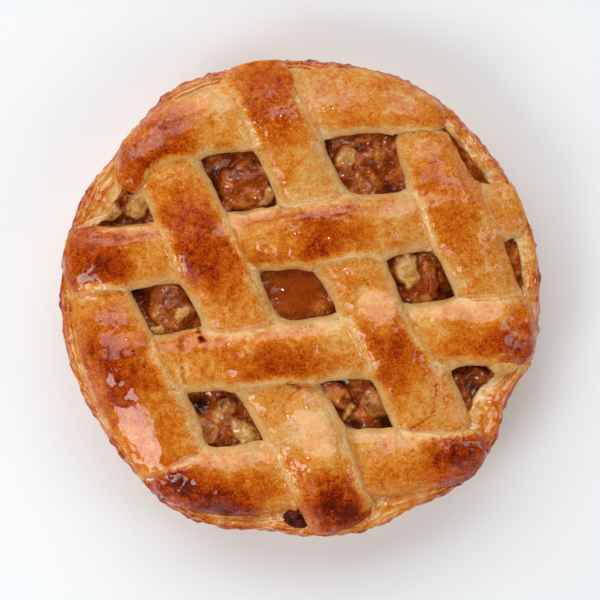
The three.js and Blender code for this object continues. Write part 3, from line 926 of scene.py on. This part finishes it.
# The top edge lies in thin sheets, one beside the other.
sheets = np.abs(np.sin((r + 1.2 * grain(points, 11.0, 88)) * 1.9)) - 0.5
relief = on_wall * layered(points, WALL_LUMPS) + near_rim * (RIM_LAYERS * layers + RIM_CRAGS * crags)
relief += SHEET_HEIGHT * sheets * smooth((r - SHEETS_FROM_RADIUS) / 3.0) * near_rim
points += normals * relief[:, None]
# The rim is drawn up to the strips that were pressed down on it.
sealed = np.max([strip_edge(name, points[:, 0], points[:, 1]) for name in STRIP_PLACES], axis=0)
rise = np.maximum(0.0, sealed - points[:, 2]) * smooth((r - inside + 8.0) / 3.0) * (step > lip_step)
points[:, 2] += np.minimum(rise, MOST_RISE)
points[:, 2] = np.maximum(points[:, 2], 0.0)
write_points(case.data, points * MM)
browning = CASE_BROWNING + near_rim * (0.2 * crags + 0.16 * sheets) + 0.14 * grain(points, 18.0, 87)
edge = smooth((r - EDGE_RADIUS) / 2.5) * near_rim
browning += EDGE_BROWNING * edge - EDGE_BROWNING * smooth((EDGE_RADIUS - 1.0 - r) / 3.0) * near_rim
for direction, spread, more in RIM_BROWNED:
    away = np.degrees(bearing) - direction
    browning += more * np.exp(-((away / spread) ** 2)) * near_rim
keep_values(case.data, "browning", browning)
keep_values(case.data, "gloss", LEAST_GLOSS + 1.3 * near_rim)
case_pastry = pastry_material("case pastry", 0.0009, 0.08, 1.7)
case.data.materials.append(case_pastry)
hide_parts("crust")
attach(case, "root")

# The filling: cooked apple in a thick brown sauce, which fills the case up to the lattice and shows in its
# openings. Its lumps are pieces of apple coated with the sauce.
FILLING_SINK = 4.4
FILLING_RIPPLE = 0.9
RIPPLE_SPACING = 6.8
# The gaps between the filling and the case: round its top and under it, and round its foot
FILLING_GAP = 0.3
FOOT_GAP = 0.5
# How far its upper edge spreads into the case's hollow, and how far and how widely sauce stands up there
TOP_SPREAD = 1.8
SAUCE_CREEP = 1.6
CREEP_WIDTH = 6.0
# How square a piece of apple is, how steep its sides are, and how far its top tilts, in millimetres
APPLE_SQUARENESS = 2.6
APPLE_STEEPNESS = 0.36
APPLE_TILT = 0.7
# The grain of the pulp, and the uneven outlines of what lies in it
PULP = ((0.75, 5.0, 101), (0.45, 2.4, 102), (0.18, 1.4, 103))
PULP_RADIUS = 93.0
UNEVEN_X = ((1.6, 6.0, 91), (0.8, 2.6, 92))
UNEVEN_Y = ((1.6, 6.0, 93), (0.8, 2.6, 94))
# The opening that holds smooth sauce and no apple: x, y, reach and how squarely it fades
STILL_SAUCE = (-2.2, 3.5, 13.0, 4)
# x, y, length, width, the way the length runs in degrees, and how far the top stands above the sauce
APPLES = [
    (-25, 49.5, 24, 20, 20, 4), (-16.5, 45.5, 12, 10, 40, 2.6), (-33.3, 41.2, 10, 8, 30, 2),
    (-83.3, 37.8, 12, 8, 10, 3), (-71.2, 41.2, 15, 12, 60, 4),
    (20.2, 61.4, 12, 10, 80, 3), (31, 58.3, 16, 12, -60, 3),
    (-56.1, -3.1, 22, 20, -30, 4), (-52.6, -6.6, 10, 9, 60, 4.6), (-62.3, -14, 9, 6, 30, 2.5),
    (46.5, 12.3, 17, 11, -70, 3.5), (57.9, 7.9, 18, 7, -75, 3.5),
    (-43, -57, 18, 11, -35, 2.5), (-32.9, -50, 14, 11, 60, 3.5), (-24.1, -58.7, 15, 10, -40, 3),
    (15.3, -43, 16, 12, -20, 3), (21, -50, 9, 4, 50, 3), (33.3, -45.6, 17, 13, -50, 3),
    (69.3, -38.6, 11, 10, 0, 3), (77.2, -33.8, 9, 7, 20, 4), (73.7, -45.6, 11, 7, -40, 2.5),
]
# Which of them lie half bare and pale on top, by their place in the list, and how bare
PALE_APPLES = {
    0: 0.05, 1: 0.85, 2: 0.1, 3: 0.8, 4: 1.0, 5: 0.8, 6: 0.1, 7: 0.3, 8: 1.0, 9: 0.9, 10: 1.0, 11: 0.1,
    12: 0.6, 13: 0.65, 14: 1.0, 15: 0.3, 16: 1.0, 17: 0.6, 18: 0.0, 19: 0.0, 20: 0.1,
}
# Hollows in the corners of the openings, sunk into the sauce and painted darker as painted shade: x, y,
# reach and depth
HOLLOWS = [
    (-70, 1, 5, 4), (67, 0.5, 6, 4), (-44, -47, 4.5, 3), (-25, 60, 7, 1), (-39, 51, 4.5, 2),
    (24, -56, 3, 2), (39, -55, 4, 3), (57, -31, 3.5, 3), (66, -50, 4, 2), (74, -38, 6, 1.2),
    (10, 63, 5, 2), (18, -37.5, 2.5, 2), (-49, 1, 4, 2), (-28, -45, 2.5, 1), (50, 22, 3, 1.5),
    (81, -40, 3, 1.5), (40, 47, 4, 2),
]


def sauce_surface(x, y):
    """The sauce's height over x, y, how bare and pale the apple in it is there, and how much painted shade
    darkens its hollows there.
    """
    flat = np.column_stack([x, y, np.zeros_like(x)])
    shift_x = layered(flat, UNEVEN_X, start=x)
    shift_y = layered(flat, UNEVEN_Y, start=y)
    base = bed_height(x, y) - FILLING_SINK
    height = base + FILLING_RIPPLE * np.sin(x / RIPPLE_SPACING) * np.sin(y / RIPPLE_SPACING)
    bare = np.zeros_like(x)
    for k, (apple_x, apple_y, length, width, turn, rise) in enumerate(APPLES):
        u, v = turned(shift_x - apple_x, shift_y - apple_y, math.radians(turn))
        u, v = u / (length / 2), v / (width / 2)
        lump = (np.abs(u) ** APPLE_SQUARENESS + np.abs(v) ** APPLE_SQUARENESS) ** 0.9
        lump = np.clip(1.0 - lump, 0.0, 1.0)
        tilt = APPLE_TILT * (u * math.sin(2.1 * k) + v * math.cos(1.3 * k))
        top = base + rise * lump**APPLE_STEEPNESS + tilt
        higher = (lump > 0.0) & (top > height)
        height = np.where(higher, top, height)
        bare = np.where(higher, PALE_APPLES.get(k, 0.0) * smooth(lump * 1.6), bare)
    hollow_shade = np.zeros_like(x)
    for *place, depth in HOLLOWS:
        sunk = patch(0.5 * (x + shift_x), 0.5 * (y + shift_y), *place)
        height -= depth * sunk
        # The deeper each dip, the more painted shade darkens it.
        hollow_shade = np.maximum(hollow_shade, sunk * min(1.0, depth / 3.0))
    return height, bare, hollow_shade


SAUCE_STEPS = 290
SAUCE_WALL_STEPS = 3


def place_order(face):
    """A number that orders faces by level, then by row, then along the row."""
    x, y, z = face.calc_center_median()
    return (z * 1000.0 + y) * 1000.0 + x


def filled_disc(made):
    """A fine square sheet with walls of a few rows drawn down from its edge and one flat face under it."""
    bmesh.ops.create_grid(made, x_segments=SAUCE_STEPS, y_segments=SAUCE_STEPS, size=1.0)
    edges = [edge for edge in made.edges if edge.is_boundary]
    for row in range(SAUCE_WALL_STEPS):
        drawn = bmesh.ops.extrude_edge_only(made, edges=edges)["geom"]
        corners = [part for part in drawn if isinstance(part, bmesh.types.BMVert)]
        edges = [part for part in drawn if isinstance(part, bmesh.types.BMEdge) and part.is_boundary]
        bmesh.ops.translate(made, verts=corners, vec=(0.0, 0.0, -1.0))
    bmesh.ops.contextual_create(made, geom=edges)
    bmesh.ops.recalc_face_normals(made, faces=made.faces)
    # The walls' faces come in another order each run, so all faces are put in order of their places.
    made.faces.sort(key=place_order)


sauce = new_piece("apple_filling", filled_disc)
sheet = read_vectors(sauce.data, "co")
u, v = sheet[:, 0], sheet[:, 1]
x = u * np.sqrt(1.0 - v * v / 2.0)
y = v * np.sqrt(1.0 - u * u / 2.0)
wall = -sheet[:, 2] / SAUCE_WALL_STEPS
reach = inside - RIM_UNDERCUT - FILLING_GAP + rim_wave(x, y) - bumps_at(WALL_SWELLS, x, y)
reach += TOP_SPREAD * np.maximum(0.0, 1.0 - 3.0 * wall) + (floor_edge - FOOT_GAP - reach) * wall
x, y = x * reach, y * reach
height, bare, hollow_shade = sauce_surface(x, y)
top = wall < 0.01
# The sauce stands up a little against the wall.
height += SAUCE_CREEP * smooth((np.hypot(x, y) - reach + CREEP_WIDTH) / CREEP_WIDTH) * top
z = height * (1.0 - wall) + (BASE_THICKNESS + FILLING_GAP) * wall
points = np.column_stack([x, y, z])
pulp = layered(points, PULP)
still = patch(x, y, *STILL_SAUCE)
pulp = pulp * (1.0 - 0.93 * still) * (1.0 - 0.4 * bare)
points[:, 2] += np.where(top & (np.hypot(x, y) < PULP_RADIUS), pulp, 0.0)
write_points(sauce.data, points * MM)
keep_values(sauce.data, "bare", bare)
keep_values(sauce.data, "still", still)
keep_values(sauce.data, "hollow_shade", hollow_shade)

# From dark to light sauce, and from stained to clean flesh
SAUCE_COLOURS = (
    (0.1, (52, 18, 4)),
    (0.3, (92, 32, 2)),
    (0.43, (136, 54, 6)),
    (0.52, (158, 72, 14)),
    (0.66, (198, 120, 52)),
)
APPLE_COLOURS = (
    (0.1, (90, 44, 10)),
    (0.34, (172, 110, 44)),
    (0.48, (200, 153, 82)),
    (0.66, (218, 190, 120)),
)


def filling_material():
    """Wet cooked fruit: brown sauce, thin over the pale flesh where that is bare, under a glossy film."""
    material, shader = new_material("apple filling")
    tree = material.node_tree
    place = tree.nodes.new("ShaderNodeTexCoord").outputs["Object"]
    bare = stored(tree, "bare")
    # Smooth sauce is one even brown, and the hollows are painted darker, as painted shade.
    restless = work("MULTIPLY_ADD", stored(tree, "still"), -0.8, 1.0)
    cloudy = work("SUBTRACT", clouds(place, 150.0, 5.0, distortion=0.6), 0.45)
    cloudy = work("MULTIPLY_ADD", cloudy, restless, 0.44)
    cloudy = work("MULTIPLY_ADD", stored(tree, "hollow_shade"), -0.26, cloudy)
    cloudy = work("MULTIPLY_ADD", work("SUBTRACT", clouds(place, 1500.0, 2.0), 0.5), 0.3, cloudy)
    thin = work("MULTIPLY_ADD", clouds(place, 330.0, 3.0, distortion=0.8), 1.6, -0.95)
    blend = tree.nodes.new("ShaderNodeMix")
    blend.data_type = "RGBA"
    tree.links.new(work("MULTIPLY", held(work("ADD", thin, bare)), bare), blend.inputs["Factor"])
    tree.links.new(ramp(cloudy, SAUCE_COLOURS), blend.inputs[6])
    tree.links.new(ramp(cloudy, APPLE_COLOURS), blend.inputs[7])
    tree.links.new(blend.outputs[2], shader.inputs["Base Color"])
    # The juice stands thickest in small spots, and those catch the light.
    juicy = held(work("MULTIPLY_ADD", clouds(place, 520.0, 2.0), 9.0, -4.9))
    tree.links.new(work("MULTIPLY_ADD", juicy, 0.7, 0.15), shader.inputs["Coat Weight"])
    # Bare flesh is cut smooth, so it is less ruffled than the sauce.
    ruffled = work("MULTIPLY", restless, work("MULTIPLY_ADD", bare, -0.5, 1.0))
    add_relief(shader, work("MULTIPLY", clouds(place, 420.0, 3.0), ruffled), 0.0014)
    shader.inputs["Roughness"].default_value = 0.35
    add_film(shader, 0.01, 2.0, (0.004, 0.002, 0.0008))
    return material


sauce.data.materials.append(filling_material())
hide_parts("filling")
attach(sauce, "root")

# One plump raisin with swollen folds, coated with dark red jelly. It came out between the lowest strip's
# end and the rim, and lies there on the filling. Its near-black colour is partly painted shade of that dark
# gap.
RAISIN_PLACE = (-1.2, -96.8, 35.9)
RAISIN_RADII = (6.0, 4.6, 3.2)
RAISIN_FOLDS = ((0.12, 1.3, 121), (0.08, 0.5, 122))
# Near black to dark red, the darkest partly painted shade of the gap.
RAISIN_AND_GAP_SHADE_COLOURS = ((0.4, (26, 8, 3)), (0.66, (118, 30, 8)))

raisin = new_piece(
    "raisin_in_jelly",
    lambda made: bmesh.ops.create_icosphere(made, subdivisions=5, radius=1.0),
)
ball = read_vectors(raisin.data, "co")
folds = layered(ball * 3.0, RAISIN_FOLDS, start=1.0)
write_points(raisin.data, (np.array(RAISIN_PLACE) + ball * folds[:, None] * RAISIN_RADII) * MM)
# The jelly's dark colour is partly painted shade of the gap.
jelly_and_gap_shade, jelly_and_gap_shade_shader = new_material("dark red jelly and gap shade")
skin = clouds(jelly_and_gap_shade.node_tree.nodes.new("ShaderNodeTexCoord").outputs["Object"], 420.0, 4.0)
jelly_and_gap_shade.node_tree.links.new(ramp(skin, RAISIN_AND_GAP_SHADE_COLOURS), jelly_and_gap_shade_shader.inputs["Base Color"])
add_relief(jelly_and_gap_shade_shader, skin, 0.001)
set_inputs(jelly_and_gap_shade_shader, {"Roughness": 0.4, "Specular IOR Level": 0.1})
set_inputs(jelly_and_gap_shade_shader, {"Coat Weight": 0.15, "Coat Roughness": 0.05})
raisin.data.materials.append(jelly_and_gap_shade)
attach(raisin, "root")
